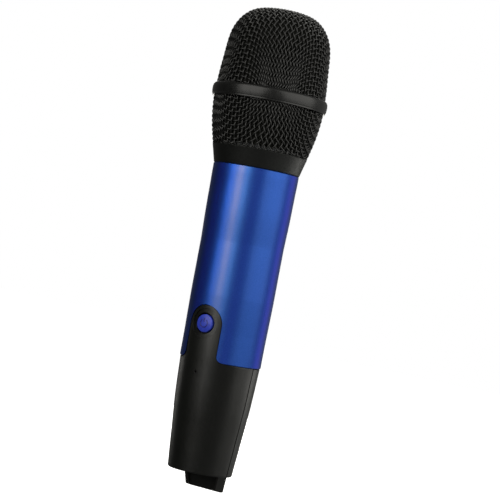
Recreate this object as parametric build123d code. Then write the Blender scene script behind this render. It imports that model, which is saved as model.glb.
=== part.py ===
from build123d import *
import math
import os

# Wireless karaoke microphone: woven wire head, crimp band, collar, metal barrel,
# plastic lower handle with a front tongue and power button, battery door, aerial stub.
# Millimetres.  Z runs along the microphone from the aerial stub (Z = 0) to the top of
# the head.  The power button faces -Y (front), the battery door faces +Y (rear).

# ---------------------------------------------------------------- driving dimensions
# Head
HEAD_TOP_Z = 233.3          # crown of the wire dome
GRILLE_T = 1.4              # two crossing wires of 0.7
RIM_R = 26.5                # outside radius of both basket rims inside the band
UPPER_RIM_TOP_Z = 193.9
BASKET_RIM_Z = 186.75       # underside of the lower basket's straight rim
BAND_BOTTOM_Z, BAND_TOP_Z = 187.0, 193.2
BAND_R = 28.0
BAND_BORE_R = RIM_R + 0.05
FOAM_GAP = 0.15             # between wire and foam
UPPER_FOAM_DEPTH, LOWER_FOAM_DEPTH = 4.0, 2.6   # wire inside face to foam inside face
COLLAR_BOTTOM_Z, COLLAR_TOP_Z = 155.45, 164.1
THREAD_R = 16.5             # neck thread, drawn as a plain running fit
COLLAR_BORE_R = THREAD_R + 0.06
COLLAR_CHAMFER = 0.4

# Capsule
CAPSULE_R = 15.2
CAP_HOLE_R, CAP_RING_PITCH = 1.05, 3.4
CAP_RING_COUNTS = (1, 6, 12, 18)            # holes in each ring, from the centre outwards

# Barrel
BARREL_BOTTOM_Z, BARREL_TOP_Z = 61.8, 155.4
BARREL_BORE_R = 18.2
GRIP_R = 20.05              # straight part that a stand clip closes on
GRIP_BOTTOM_Z, GRIP_TOP_Z = 93.0, 119.0

# Lower handle
SHELL_BOTTOM_Z, SHELL_TOP_Z = 8.5, 61.7
SHELL_WALL, DOOR_WALL = 1.8, 1.6
SEAM_GAP = 0.07             # each side of the split between front shell and door
GROOVE_HALF_W, GROOVE_DEPTH = 0.3, 0.45     # line along the split of the lower handle
RIDGE_COUNT, RIDGE_PITCH, RIDGE_FIRST_Z = 5, 2.0, 49.0

# Tongue and power button
TONGUE_HALF_W = 8.8
BUTTON_Z = 79.0             # centre of the tongue's round top and of the button
TONGUE_GAP = 0.12
TONGUE_EDGE_R = 0.5
TONGUE_BLANK_TOP_Z = 88.5
LIP_OVERLAP = 1.4           # how far the inner lip reaches past the tongue
SLOT_CORNER_R = 3.0
SLOT_FRONT_Y, SLOT_REAR_Y = -30.0, -9.0     # extent of the cutters through the front wall
BUTTON_R, BUTTON_HOLE_R = 4.3, 5.05
BUTTON_FACE_R = 20.0        # crown of the face, a little proud of the tongue
BUTTON_DOME_R = 16.0        # radius of the domed face
BUTTON_REAR_Y = -15.9
DISH_R, DISH_FLOOR_R = 6.9, 19.3            # shallow round recess about the button
LED_Z, LED_R = 55.8, 0.6

# Inside the handle
PCB_FRONT_Y, PCB_REAR_Y = -12.6, -11.4
PCB_HALF_W = 12.0
FLOOR_FRONT_Y, FLOOR_REAR_Y = -4.0, -2.8    # chassis floor
CHASSIS_HALF_W = 12.0       # beside the cells
CHASSIS_BOTTOM_Z = 9.9
MOUNT_GAP = 0.01            # hairline between a part and the face that carries it
SHELL_SCREW_X, SHELL_SCREW_ZS = 9.4, (22.0, 50.0)
PCB_SCREW_X, PCB_SCREW_ZS = 9.5, (72.0, 132.0)
SCREW_SHANK_R, PILOT_R = 0.78, 0.8
CROSS_HALF_L = 0.9          # half length of the cross slots in the screw heads
CELL_R, CELL_L = 5.25, 44.5                 # two AAA cells
CELL_X, CELL_Y = 5.5, 2.6                   # cell axes at +-X
TIP_R, TIP_H, TIP_OVERLAP = 1.9, 1.0, 0.1   # positive tip of a cell
CONTACT_FRONT_Y, CONTACT_REAR_Y = -1.6, 5.8

# Aerial stub
TAIL_LEFT_TOP_X, TAIL_LEFT_BOTTOM_X = -10.2, -7.4   # the slanted left side
TAIL_RIGHT_TOP_X, TAIL_RIGHT_BOTTOM_X = 10.3, 9.6
TAIL_FRONT_Y, TAIL_REAR_Y = 1.2, 10.0
TAIL_REST_Y, TAIL_RISE = 6.4, 1.05          # end face: flat behind, rising towards the front

SIDES = (-1, 1)             # -X, +X

# Outside outlines, each point (radius, z)
DOME = [
    (0.0, HEAD_TOP_Z), (4.0, 233.17), (8.0, 232.8), (12.0, 232.1), (14.7, 231.25),
    (16.8, 230.1), (18.83, 228.45), (20.64, 226.45), (22.14, 224.17), (23.32, 221.7),
    (24.17, 219.06), (24.75, 216.3), (25.1, 213.4), (25.44, 209.3), (25.76, 205.1),
    (26.13, 200.9), (26.4, 196.7), (RIM_R, UPPER_RIM_TOP_Z)]
BASKET = [
    (26.72, 186.1), (26.55, 183.4), (26.15, 179.5), (25.6, 175.7), (24.85, 171.8),
    (23.95, 168.0), (23.0, 164.3)]
SHELL = [
    (15.45, SHELL_BOTTOM_Z), (15.62, 8.95), (16.0, 13.4), (16.5, 19.2), (17.2, 27.8),
    (18.0, 36.5), (18.6, 45.1), (19.0, 53.8), (19.35, SHELL_TOP_Z)]
BARREL_LOWER = [(19.76, 75.8), (19.95, 87.0), (GRIP_R, GRIP_BOTTOM_Z)]
BARREL_UPPER = [(GRIP_R, GRIP_TOP_Z), (20.18, 123.5), (20.45, 131.5), (20.62, 143.0),
                (20.78, 152.0)]


# ---------------------------------------------------------------- helpers
def offset_curve(points, distance):
    """Move an open (r, z) curve along its right-hand normal."""
    moved = []
    for i, (r, z) in enumerate(points):
        before = points[max(i - 1, 0)]
        after = points[min(i + 1, len(points) - 1)]
        run, rise = after[0] - before[0], after[1] - before[1]
        length = math.hypot(run, rise)
        moved.append((r + distance * rise / length, z - distance * run / length))
    return moved


def inset_shell(inset):
    """SHELL outline with every radius reduced by `inset`."""
    return [(r - inset, z) for r, z in SHELL]


def shell_radius(z):
    """Outside radius of the lower handle at height z."""
    for (low_r, low_z), (high_r, high_z) in zip(SHELL, SHELL[1:]):
        if low_z <= z <= high_z:
            return low_r + (high_r - low_r) * (z - low_z) / (high_z - low_z)


def lathe(points):
    """Solid of revolution about Z from a closed (r, z) polygon."""
    return revolve(make_face(Plane.XZ * Polyline(*points, close=True)), axis=Axis.Z)


def lathe_curves(*curves):
    """Solid of revolution about Z whose (r, z) outline is a chain of curves."""
    edges = []
    for curve in curves:
        edges.extend((Plane.XZ * curve).edges())
    return revolve(make_face(edges), axis=Axis.Z)


def ring(inner_r, outer_r, z_lo, z_hi):
    return lathe([(inner_r, z_lo), (outer_r, z_lo), (outer_r, z_hi), (inner_r, z_hi)])


def disc(radius, z_lo, z_hi, x=0.0, y=0.0):
    return Pos(x, y, (z_lo + z_hi) / 2) * Cylinder(radius, z_hi - z_lo)


def block(x_lo, x_hi, y_lo, y_hi, z_lo, z_hi):
    centre = Pos((x_lo + x_hi) / 2, (y_lo + y_hi) / 2, (z_lo + z_hi) / 2)
    return centre * Box(x_hi - x_lo, y_hi - y_lo, z_hi - z_lo)


def side_block(side, x_near, x_far, *yz_limits):
    """Block on one side (-1 or 1) of X = 0, from |x| = x_near to x_far."""
    return block(*sorted((side * x_near, side * x_far)), *yz_limits)


def rod_y(radius, x, z, y_lo, y_hi):
    """Cylinder along Y."""
    return Pos(x, (y_lo + y_hi) / 2, z) * Rot(90, 0, 0) * Cylinder(radius, y_hi - y_lo)


def prism_y(points, y_rear, depth):
    """(x, z) polygon extruded from y_rear towards -Y."""
    face = make_face(Plane.XZ * Polyline(*points, close=True))
    return Pos(0, y_rear, 0) * extrude(face, amount=depth)


def sweep_round(path, radius):
    section = Plane(origin=path @ 0, z_dir=path % 0) * Circle(radius)
    return sweep(section, path=path)


def lead_pair(points, radius):
    """Two mirrored round wires; points are (|x|, y, z)."""
    return Compound(children=[
        sweep_round(Spline(*[(side * x, y, z) for x, y, z in points]), radius)
        for side in SIDES])


def cross_head_screw(x, z, head_r, head_y, shank_y, cross_y, slot_half_w):
    """Screw along Y; head_y, shank_y and cross_y are (low, high) extents."""
    screw = rod_y(head_r, x, z, *head_y)
    screw += rod_y(SCREW_SHANK_R, x, z, *shank_y)
    for half_x, half_z in ((CROSS_HALF_L, slot_half_w), (slot_half_w, CROSS_HALF_L)):
        screw -= block(x - half_x, x + half_x, *cross_y, z - half_z, z + half_z)
    return screw


def screw_places(screw_x, heights):
    return [(side * screw_x, z) for side in SIDES for z in heights]


SHELL_SCREWS = screw_places(SHELL_SCREW_X, SHELL_SCREW_ZS)
PCB_SCREWS = screw_places(PCB_SCREW_X, PCB_SCREW_ZS)
parts = {}

# ---------------------------------------------------------------- head
# Wire dome with a straight rim that enters the band
rim_in_r = RIM_R - GRILLE_T
dome_in_top = (0.0, HEAD_TOP_Z - GRILLE_T)
dome_in = [dome_in_top, *offset_curve(DOME, GRILLE_T)[1:-1], (rim_in_r, UPPER_RIM_TOP_Z)]
parts["upper_grille"] = lathe_curves(
    Spline(*DOME),
    Polyline(DOME[-1], (RIM_R, 190.8), (rim_in_r, 190.8), dome_in[-1]),
    Spline(*dome_in[::-1]),
    Polyline(dome_in_top, DOME[0]))

# Tapering wire basket with a rim above and a short inner skirt below
basket_in = offset_curve(BASKET, GRILLE_T)
parts["lower_grille"] = lathe_curves(
    Polyline(BASKET[0], (RIM_R, BASKET_RIM_Z), (RIM_R, 190.7), (rim_in_r, 190.7),
             (rim_in_r, BASKET_RIM_Z), basket_in[0]),
    Spline(*basket_in),
    Polyline(basket_in[-1], (20.8, 163.9), (20.8, 161.85), (22.2, 161.85), (22.2, 163.7),
             (22.2, 164.15), BASKET[-1]),
    Spline(*BASKET[::-1]))

# Crimp band with a bulged outside and a step at its foot
band_bulge = [(26.9, BAND_TOP_Z), (27.45, 192.75), (27.87, 191.8), (BAND_R, 190.6),
              (27.95, 189.2), (27.78, 187.95)]
parts["grille_band"] = lathe_curves(
    Polyline((BAND_BORE_R, BAND_TOP_Z), band_bulge[0]),
    Spline(*band_bulge),
    Polyline(band_bulge[-1], (27.5, 187.75), (27.5, BAND_BOTTOM_Z + 0.1),
             (27.4, BAND_BOTTOM_Z), (BAND_BORE_R, BAND_BOTTOM_Z), (BAND_BORE_R, BAND_TOP_Z)))
parts["band_liner"] = ring(24.35, 25.05, 187.4, 193.0)


def upper_foam():
    """Foam lining of the dome, ending in a short straight skirt."""
    def face(depth, skirt_r):
        return [(0.0, HEAD_TOP_Z - depth), *offset_curve(DOME, depth)[1:-2], (skirt_r, 196.4)]

    outside = face(GRILLE_T + FOAM_GAP, 24.9)
    inside = face(GRILLE_T + UPPER_FOAM_DEPTH, 21.0)
    return lathe_curves(
        Spline(*outside),
        Polyline(outside[-1], (24.9, 193.8), (21.0, 193.8), inside[-1]),
        Spline(*inside[::-1]),
        Polyline(inside[0], outside[0]))


parts["upper_foam"] = upper_foam()
parts["lower_foam"] = lathe([
    *offset_curve(BASKET, GRILLE_T + FOAM_GAP)[:-1], (21.9, 166.2), (19.9, 166.2),
    *offset_curve(BASKET, GRILLE_T + LOWER_FOAM_DEPTH)[:-1][::-1]])

# Flared collar between barrel and basket, bored for the neck thread
collar_flare = [(20.85, COLLAR_BOTTOM_Z + 0.3), (21.15, 156.9), (22.0, 160.3),
                (23.0, COLLAR_TOP_Z - 0.2)]
collar_bore_foot = (COLLAR_BORE_R, COLLAR_BOTTOM_Z + COLLAR_CHAMFER)
parts["head_collar"] = lathe_curves(
    Polyline(collar_bore_foot, (COLLAR_BORE_R + COLLAR_CHAMFER, COLLAR_BOTTOM_Z),
             (20.55, COLLAR_BOTTOM_Z), collar_flare[0]),
    Spline(*collar_flare),
    Polyline(collar_flare[-1], (22.85, COLLAR_TOP_Z), (22.25, COLLAR_TOP_Z), (22.25, 161.8),
             (COLLAR_BORE_R + COLLAR_CHAMFER, 161.8), (COLLAR_BORE_R, 161.4),
             collar_bore_foot))

parts["grille_retainer"] = lathe([
    (19.2, 161.85), (20.7, 161.85), (20.7, 163.9), (20.85, 164.4), (20.85, 165.9),
    (20.4, 165.9), (19.8, 164.6), (19.2, 164.6)])
parts["head_washer"] = ring(16.62, 18.1, 154.75, 155.42)

# ---------------------------------------------------------------- capsule on the neck
parts["neck_insert"] = lathe([
    (14.2, 143.0), (18.15, 143.0), (18.15, 154.7), (THREAD_R - 0.7, 154.7),
    (THREAD_R - 0.7, 155.6), (THREAD_R, 156.1), (THREAD_R, 162.0), (THREAD_R - 0.5, 162.5),
    (14.2, 162.5)])
parts["shock_mount"] = lathe([
    (11.0, 152.5), (13.6, 152.5), (14.15, 153.4), (14.15, 162.6), (16.2, 162.6),
    (16.2, 164.0), (15.4, 164.8), (15.4, 169.8), (13.58, 169.8), (13.58, 165.0),
    (11.0, 165.0)])


def capsule_housing():
    """Cup on a narrower neck, with six upright windows in its wall."""
    housing = lathe([
        (12.2, 165.1), (13.5, 165.1), (13.5, 170.0), (CAPSULE_R - 0.3, 170.0),
        (CAPSULE_R, 170.3), (CAPSULE_R, 190.4), (14.4, 190.4), (14.4, 171.4), (12.2, 171.4)])
    for k in range(6):
        housing -= Pos(0, 0, 180.5) * Rot(0, 0, 60 * k) * Pos(CAPSULE_R - 0.4, 0, 0) * Box(3, 2.2, 9)
    return housing


def capsule_cap():
    """Hollow cap perforated by rings of round holes."""
    cap = lathe([(0, 190.2), (14.35, 190.2), (14.35, 190.5), (CAPSULE_R, 190.5),
                 (CAPSULE_R, 191.2), (14.6, 191.9), (13.0, 192.4), (0, 192.8)])
    cap -= lathe([(0, 190.0), (13.4, 190.0), (13.4, 191.0), (12.6, 191.5), (0, 191.9)])
    for ring_number, count in enumerate(CAP_RING_COUNTS):
        ring_r = ring_number * CAP_RING_PITCH
        for k in range(count):
            angle = 2 * math.pi * k / count
            cap -= disc(CAP_HOLE_R, 189, 194, ring_r * math.cos(angle), ring_r * math.sin(angle))
    return cap


parts["capsule_housing"] = capsule_housing()
parts["capsule_cap"] = capsule_cap()

# Thin diaphragm: centre dome, rolled surround and flat rim
parts["diaphragm"] = lathe_curves(
    Spline((0.0, 189.9), (3.0, 189.65), (5.6, 189.0), (7.2, 188.25)),
    Spline((7.2, 188.25), (9.6, 188.95), (12.0, 188.75), (13.3, 187.9)),
    Polyline((13.3, 187.9), (14.3, 187.9), (14.3, 187.7), (13.25, 187.7)),
    Spline((13.25, 187.7), (12.0, 188.55), (9.6, 188.75), (7.2, 188.05)),
    Spline((7.2, 188.05), (5.6, 188.8), (3.0, 189.45), (0.0, 189.7)),
    Polyline((0.0, 189.7), (0.0, 189.9)))
parts["voice_coil"] = ring(7.0, 7.5, 183.4, 188.0)
parts["capsule_yoke"] = lathe([
    (0, 176.0), (10.0, 176.0), (10.0, 186.0), (7.9, 186.0), (7.9, 178.0), (0, 178.0)])
parts["capsule_magnet"] = disc(6.2, 178.02, 184.0)
parts["pole_plate"] = lathe([(0, 184.02), (6.6, 184.02), (6.6, 186.0), (6.2, 186.4), (0, 186.4)])

# Ring about the yoke with a channel in its top and four through holes
coil_frame = ring(10.05, 14.35, 183.2, 187.65) - ring(11.0, 13.4, 186.4, 188.0)
for k in range(4):
    coil_frame -= Rot(0, 0, 45 + 90 * k) * Pos(12.2, 0, 185) * Cylinder(0.9, 8)
parts["coil_frame"] = coil_frame

# Round board with two pads underneath
terminal_board = disc(12.0, 171.5, 172.7)
terminal_board += (side_block(-1, 3.2, 4.6, -1.2, 1.2, 170.9, 171.5)
                   + side_block(1, 3.2, 4.6, -1.2, 1.2, 170.9, 171.5))
parts["capsule_terminal_board"] = terminal_board


# ---------------------------------------------------------------- barrel
def round_top_prism(half_w, bottom_z):
    """Cutter through the front wall: straight sides, round top about BUTTON_Z."""
    prism = block(-half_w, half_w, SLOT_FRONT_Y, SLOT_REAR_Y, bottom_z, BUTTON_Z)
    return prism + rod_y(half_w, 0, BUTTON_Z, SLOT_FRONT_Y, SLOT_REAR_Y)


def tongue_outline(clear, bottom_z):
    """Tongue outline grown by `clear`, flaring in concave corners at the barrel's foot."""
    half_w = TONGUE_HALF_W + clear
    outline = round_top_prism(half_w, bottom_z)
    corner_x = TONGUE_HALF_W + SLOT_CORNER_R
    corner_z = BARREL_BOTTOM_Z + SLOT_CORNER_R
    for side in SIDES:
        corner = side_block(side, half_w - 0.5, corner_x, SLOT_FRONT_Y, SLOT_REAR_Y,
                            bottom_z, corner_z)
        corner -= rod_y(SLOT_CORNER_R - clear, side * corner_x, corner_z,
                        SLOT_FRONT_Y - 1, SLOT_REAR_Y + 1)
        outline += corner
    return outline


barrel = lathe_curves(
    Polyline((BARREL_BORE_R, BARREL_TOP_Z), (BARREL_BORE_R, BARREL_BOTTOM_Z),
             (19.45, BARREL_BOTTOM_Z), (19.68, BARREL_BOTTOM_Z + 0.25), BARREL_LOWER[0]),
    Spline(*BARREL_LOWER),
    Polyline(BARREL_LOWER[-1], BARREL_UPPER[0]),
    Spline(*BARREL_UPPER),
    Polyline(BARREL_UPPER[-1], (20.78, 155.1), (20.5, BARREL_TOP_Z),
             (BARREL_BORE_R, BARREL_TOP_Z)))
parts["barrel"] = barrel - tongue_outline(TONGUE_GAP, 50.0)


# ---------------------------------------------------------------- lower handle
def handle_tube(wall, top_z):
    """Full-round lower handle, before it is split at Y = 0."""
    inside = inset_shell(wall)
    return lathe_curves(
        Spline(*SHELL[1:-1]),
        Polyline(SHELL[-2], (19.33, 61.3), (19.15, top_z), (inside[-1][0], top_z), inside[-2]),
        Spline(*inside[1:-1][::-1]),
        Polyline(inside[1], (inside[1][0], SHELL_BOTTOM_Z), (15.3, SHELL_BOTTOM_Z), SHELL[1]))


def split_groove():
    """Shallow cutter that follows the outside of the handle at Y = 0."""
    floor = inset_shell(GROOVE_DEPTH)
    groove = lathe([*floor, (floor[-1][0], 62.0), (22.0, 62.0), (22.0, 8.0), (floor[0][0], 8.0)])
    return groove & block(-30, 30, -GROOVE_HALF_W, GROOVE_HALF_W, 7.0, 62.0)


def is_tongue_rim(edge):
    """Outer rim edges of the tongue above the shoulder of the shell."""
    points = [edge.position_at(t) for t in (0.0, 0.25, 0.5, 0.75, 1.0)]
    return (min(math.hypot(p.X, p.Y) for p in points) > 19.5
            and max(p.Z for p in points) > 66.5
            and max(abs(p.Z - TONGUE_BLANK_TOP_Z) for p in points) > 0.01)


def front_tongue():
    top_z = TONGUE_BLANK_TOP_Z
    blank = lathe_curves(
        Polyline((17.2, top_z), (17.2, 57.8), (18.5, 57.8), (19.345, 61.5)),
        Spline((19.345, 61.5), (19.5, 65.5), (19.62, 71.0), (19.7, 78.0), (19.72, top_z)),
        Polyline((19.72, top_z), (17.2, top_z)))
    tongue = blank & tongue_outline(0.0, 58.0)
    return fillet(tongue.edges().filter_by(is_tongue_rim), TONGUE_EDGE_R)


def lower_shell():
    """Front half of the handle with tongue, inner lip, button opening and screw bosses."""
    shell = handle_tube(SHELL_WALL, SHELL_TOP_Z) & block(-30, 30, -30, -SEAM_GAP, 0, 70)
    lip_outline = round_top_prism(TONGUE_HALF_W + LIP_OVERLAP, 57.0)
    lip_outline += block(-15.5, 15.5, SLOT_FRONT_Y, SLOT_REAR_Y, 57.0, 67.2)
    shell += front_tongue()
    shell += ring(17.0, 18.1, 58.5, 90.5) & lip_outline
    shell -= rod_y(BUTTON_HOLE_R, 0, BUTTON_Z, -25, -10)
    shell -= rod_y(DISH_R, 0, BUTTON_Z, -25, -10) & ring(DISH_FLOOR_R, 22.0, 70.0, 88.0)
    shell -= rod_y(6.3, 0, BUTTON_Z, -16.7, -9)     # room for the button flange
    shell -= rod_y(LED_R + 0.02, 0, LED_Z, -25, -14)
    boss_limit = lathe([(0, SHELL_BOTTOM_Z), *inset_shell(0.6), (0, SHELL_TOP_Z)])
    for x, z in SHELL_SCREWS:
        boss = rod_y(2.0, x, z, -17.0, FLOOR_FRONT_Y - 0.05)
        boss &= boss_limit
        boss -= rod_y(PILOT_R, x, z, -10.5, 0)
        shell += boss
    return shell - split_groove()


def battery_door():
    """Rear half of the handle with two inner ledges and thumb grooves near its top."""
    door = handle_tube(DOOR_WALL, SHELL_TOP_Z - 0.1) & block(-30, 30, SEAM_GAP, 30, 0, 70)
    ledge_limit = lathe([(0, 9.0), *inset_shell(DOOR_WALL - 0.3)[2:-1], (17.4, 57.0), (0, 57.0)])
    for side in SIDES:
        door += ledge_limit & side_block(side, 12.35, 19.0, 0.8, 1.9, 12.0, 57.0)
    for k in range(RIDGE_COUNT):
        z = RIDGE_FIRST_Z + RIDGE_PITCH * k
        radius = shell_radius(z)
        door -= (ring(radius - 0.35, radius + 2, z - 0.45, z + 0.45)
                 & block(-6.5, 6.5, 5, 30, 40, 62))
    return door - split_groove()


parts["lower_shell"] = lower_shell()
parts["battery_door"] = battery_door()


# ---------------------------------------------------------------- chassis
def chassis():
    """Floor plate: cell tray below, board carrier above, ring at the top."""
    half_w, bottom_z = CHASSIS_HALF_W, CHASSIS_BOTTOM_Z
    body = block(-half_w, half_w, FLOOR_FRONT_Y, FLOOR_REAR_Y, bottom_z, 62.5)
    for side in SIDES:      # tray walls and their outward flanges
        body += side_block(side, half_w - 1.0, half_w, FLOOR_REAR_Y, 3.2, bottom_z, 61.2)
        body += side_block(side, 11.5, 13.2, 2.2, 3.2, 11.5, 59.5)
    for z_lo, z_hi in ((bottom_z, 11.0), (60.6, 61.8)):     # tray end walls
        body += block(-half_w, half_w, FLOOR_REAR_Y, 6.0, z_lo, z_hi)
    body += block(-16.0, 16.0, FLOOR_FRONT_Y, FLOOR_REAR_Y, 62.5, 142.0)
    for side in SIDES:
        for z in (68.0, 100.0, 136.0):      # tabs towards the barrel wall
            body += side_block(side, 15.0, 17.6, FLOOR_FRONT_Y, FLOOR_REAR_Y, z, z + 4.0)
        for z in PCB_SCREW_ZS:              # board posts
            body += rod_y(2.1, side * PCB_SCREW_X, z, PCB_REAR_Y + 0.02, FLOOR_FRONT_Y)
    body += disc(18.0, 140.6, 142.9) - disc(10.5, 140, 144)
    for z in (64.0, 90.0, 116.0):           # cross ribs on the rear face
        body += block(-15.5, 15.5, FLOOR_REAR_Y, -1.2, z, z + 1.2)
    for side in SIDES:
        for z in SHELL_SCREW_ZS:
            body -= rod_y(1.05, side * SHELL_SCREW_X, z, -6, 0)
        for z in PCB_SCREW_ZS:
            body -= rod_y(PILOT_R, side * PCB_SCREW_X, z, PCB_REAR_Y - 1, FLOOR_FRONT_Y - 1)
    return body


parts["chassis"] = chassis()

head_y = FLOOR_REAR_Y + MOUNT_GAP           # underside of the shell screw heads
parts["shell_screws"] = Compound(children=[
    cross_head_screw(x, z, head_r=1.5, head_y=(head_y, head_y + 0.6),
                     shank_y=(head_y - 7.0, head_y),
                     cross_y=(head_y + 0.27, head_y + 1.6), slot_half_w=0.22)
    for x, z in SHELL_SCREWS])


# ---------------------------------------------------------------- cells and contacts
def cell(x, bottom_z, tip_up):
    """AAA cell with its raised positive tip at the top or the bottom."""
    top_z = bottom_z + CELL_L
    if tip_up:
        body_z = (bottom_z, top_z - TIP_H)
        tip_z = (top_z - TIP_H - TIP_OVERLAP, top_z)
    else:
        body_z = (bottom_z + TIP_H, top_z)
        tip_z = (bottom_z, bottom_z + TIP_H + TIP_OVERLAP)
    body = disc(CELL_R, *body_z, x, CELL_Y)
    body = fillet(body.edges().filter_by(GeomType.CIRCLE), 0.5)
    return body + disc(TIP_R, *tip_z, x, CELL_Y)


def contact_spring():
    """Conical coil, wide end at Z = 0."""
    return sweep_round(Helix(pitch=1.35, height=3.7, radius=3.2, cone_angle=-22.0), 0.26)


def contact_plate(x_lo, x_hi, z_lo, z_hi):
    return block(x_lo, x_hi, CONTACT_FRONT_Y, CONTACT_REAR_Y, z_lo, z_hi)


parts["cell_left"] = cell(-CELL_X, 15.7, tip_up=True)
parts["cell_right"] = cell(CELL_X, 11.42, tip_up=False)
parts["spring_left"] = Pos(-CELL_X, CELL_Y, 11.68) * contact_spring()
parts["spring_right"] = Pos(CELL_X, CELL_Y, 59.93) * Rot(180, 0, 0) * contact_spring()
parts["bridge_contact"] = contact_plate(-9.5, 9.5, 11.0, 11.4)
parts["positive_contact"] = contact_plate(-10.2, -1.2, 60.2, 60.59)
parts["negative_contact"] = contact_plate(1.2, 10.2, 60.2, 60.59)

# ---------------------------------------------------------------- electronics
# Board with a narrow strip running down behind the LED
main_pcb = block(-PCB_HALF_W, PCB_HALF_W, PCB_FRONT_Y, PCB_REAR_Y, 67.5, 138.0)
main_pcb += block(-6.6, 6.6, PCB_FRONT_Y, PCB_REAR_Y, 47.0, 67.6)
for x, z in PCB_SCREWS:
    main_pcb -= rod_y(1.15, x, z, -14, -10)
parts["main_pcb"] = main_pcb

parts["pcb_screws"] = Compound(children=[
    cross_head_screw(x, z, head_r=1.7, head_y=(PCB_FRONT_Y - 1.0, PCB_FRONT_Y - MOUNT_GAP),
                     shank_y=(PCB_FRONT_Y - 0.5, PCB_REAR_Y + 4.5),
                     cross_y=(-15, PCB_FRONT_Y - 0.55), slot_half_w=0.2)
    for x, z in PCB_SCREWS])

# Components on the rear and front faces of the board
rear_mount_y = PCB_REAR_Y + MOUNT_GAP
front_mount_y = PCB_FRONT_Y - MOUNT_GAP
rf_shield = block(-8.0, 8.0, rear_mount_y, -9.1, 104.0, 122.0)
rf_shield -= block(-7.7, 7.7, PCB_REAR_Y - 1, -9.4, 104.3, 121.7)
parts["rf_shield"] = rf_shield
parts["transmitter_ic"] = block(-3.5, 3.5, rear_mount_y, -10.3, 109.0, 116.0)
parts["audio_ic"] = block(-2.6, 2.6, rear_mount_y, -10.1, 90.0, 96.4)
crystal = block(-9.6, -6.0, rear_mount_y, -8.2, 84.0, 95.0)
parts["crystal"] = fillet(crystal.edges().filter_by(Axis.Y), 1.6)

CAPACITORS = [              # x, z, radius, height
    (6.6, 92.0, 2.5, 5.4), (6.6, 98.6, 2.5, 5.4), (-6.6, 128.0, 2.0, 4.6), (5.4, 126.5, 2.0, 4.6)]
parts["capacitors"] = Compound(children=[
    rod_y(radius, x, z, rear_mount_y, PCB_REAR_Y + height)
    for x, z, radius, height in CAPACITORS])

switch_body = block(-3.0, 3.0, -14.9, front_mount_y, BUTTON_Z - 3.0, BUTTON_Z + 3.0)
switch_body -= rod_y(1.58, 0, BUTTON_Z, -16.0, -13.2)
parts["switch_body"] = switch_body
parts["switch_plunger"] = rod_y(1.52, 0, BUTTON_Z, -15.88, -13.9)


def is_button_face_rim(edge):
    point = edge.position_at(0.3)
    return (max(edge.position_at(t).Y for t in (0, 0.25, 0.5, 0.75)) < -19.0
            and abs(math.hypot(point.X, point.Z - BUTTON_Z) - BUTTON_R) < 0.01)


def power_button():
    """Round button with a domed face and a flange at its rear end."""
    button = rod_y(BUTTON_R, 0, BUTTON_Z, -22.0, BUTTON_REAR_Y)
    button &= Pos(0, BUTTON_DOME_R - BUTTON_FACE_R, BUTTON_Z) * Sphere(BUTTON_DOME_R)
    button = fillet(button.edges().filter_by(is_button_face_rim), 0.5)
    return button + rod_y(6.0, 0, BUTTON_Z, -16.55, BUTTON_REAR_Y)


parts["power_button"] = power_button()
parts["status_led"] = block(-0.8, 0.8, -13.4, front_mount_y, LED_Z - 0.45, LED_Z + 0.45)
parts["light_pipe"] = rod_y(LED_R, 0, LED_Z, -18.3, -13.5) + rod_y(1.1, 0, LED_Z, -17.15, -16.4)

parts["capsule_leads"] = lead_pair(
    [(3.9, 0, 170.85), (3.4, -1.0, 164.0), (2.6, -5.0, 150.0), (2.2, -9.5, 141.0),
     (2.2, -10.9, 136.5)], 0.55)
parts["battery_leads"] = lead_pair([(4.0, 1.2, 62.45), (4.0, 0.4, 70.0), (3.0, 0.0, 80.0)], 0.6)

# ---------------------------------------------------------------- bottom cap and aerial stub
# Chamfered disc with a notch at each side and a square hole towards the rear
end_cap = lathe([(0, 8.52), (13.4, 8.52), (13.75, 8.87), (13.75, 9.8), (0, 9.8)])
for side in SIDES:
    end_cap -= side_block(side, 12.05, 15.0, 0.4, 3.6, 7, 11)
end_cap -= block(-2.0, 2.0, 3.5, 7.5, 7.0, 11.0)
parts["end_cap"] = end_cap


def tail_cover():
    """Slanted stub with rounded upright corners, a front recess and a hollow open at the top."""
    tail = prism_y([(TAIL_LEFT_BOTTOM_X, 0.0), (TAIL_RIGHT_BOTTOM_X, 0.0),
                    (TAIL_RIGHT_TOP_X, SHELL_BOTTOM_Z), (TAIL_LEFT_TOP_X, SHELL_BOTTOM_Z)],
                   TAIL_REAR_Y, TAIL_REAR_Y - TAIL_FRONT_Y)
    for face_y, radius in ((TAIL_REAR_Y, 1.6), (TAIL_FRONT_Y, 0.6)):
        tail = fillet(tail.edges().filter_by(
            lambda e: abs(e.center().Y - face_y) < 0.01
            and abs(e.center().Z - SHELL_BOTTOM_Z / 2) < 0.5), radius)
    wedge = make_face(Plane.YZ * Polyline(
        (TAIL_REST_Y, 0.0), (TAIL_FRONT_Y, TAIL_RISE), (-1.0, TAIL_RISE + 0.5),
        (-1.0, -1.0), (TAIL_REST_Y, -1.0), close=True))
    tail -= Pos(-15.0, 0, 0) * extrude(wedge, amount=30.0)
    tail -= prism_y([(-4.9, -1.0), (8.9, -1.0), (8.3, 7.7), (-7.6, 7.7)],
                    TAIL_FRONT_Y + 1.2, 4.0)
    return tail - block(-5.6, 8.2, 3.8, 8.6, 1.3, 9.0)


parts["tail_cover"] = tail_cover()
aerial = sweep_round(Helix(pitch=1.3, height=10.4, radius=1.75, cone_angle=1.2), 0.3)
parts["aerial_coil"] = Pos(-4.2, 6.2, 4.3) * Rot(0, 90, 0) * aerial

os.makedirs("parts", exist_ok=True)
for name, shape in parts.items():
    export_step(shape, f"parts/{name}.step")
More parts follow.
